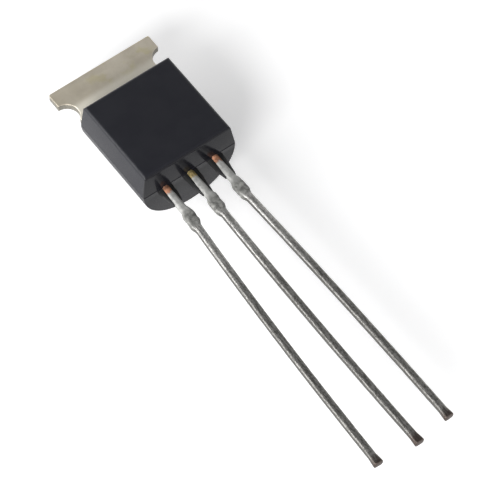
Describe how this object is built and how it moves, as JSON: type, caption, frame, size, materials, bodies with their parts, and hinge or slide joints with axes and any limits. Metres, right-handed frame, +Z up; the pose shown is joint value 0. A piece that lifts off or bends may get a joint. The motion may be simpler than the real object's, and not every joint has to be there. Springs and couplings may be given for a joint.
{
  "type": "mosfet transistor",
  "caption": "Through-hole MOSFET with a flat-fronted, round-backed black moulding, a notched metal heat tab above it and long tinned leads below.",
  "frame": {"origin": "middle of the part's outline seen from above, at the level it rests on: the crown of the round back is at z = 0", "axes": "+Z up, out of the flat front face; +Y along the body from the lead tips to the tab; +X across the leads towards the source lead"},
  "size_m": [0.0052, 0.0226, 0.0035],
  "materials": {
    "epoxy": "matte, finely textured",
    "plated_frame": "dull plated sheet",
    "tinned_lead": "tinned",
    "silicon": "polished",
    "solder": "dull",
    "bond_wire": "drawn wire"
  },
  "bodies": {
    "root": {"moulded_body": "epoxy", "drain_frame": "plated_frame", "gate_lead": "tinned_lead", "source_lead": "tinned_lead", "silicon_die": "silicon", "die_attach": "solder", "gate_bond_wire": "bond_wire", "source_bond_wire": "bond_wire"}
  },
  "joints": []
}
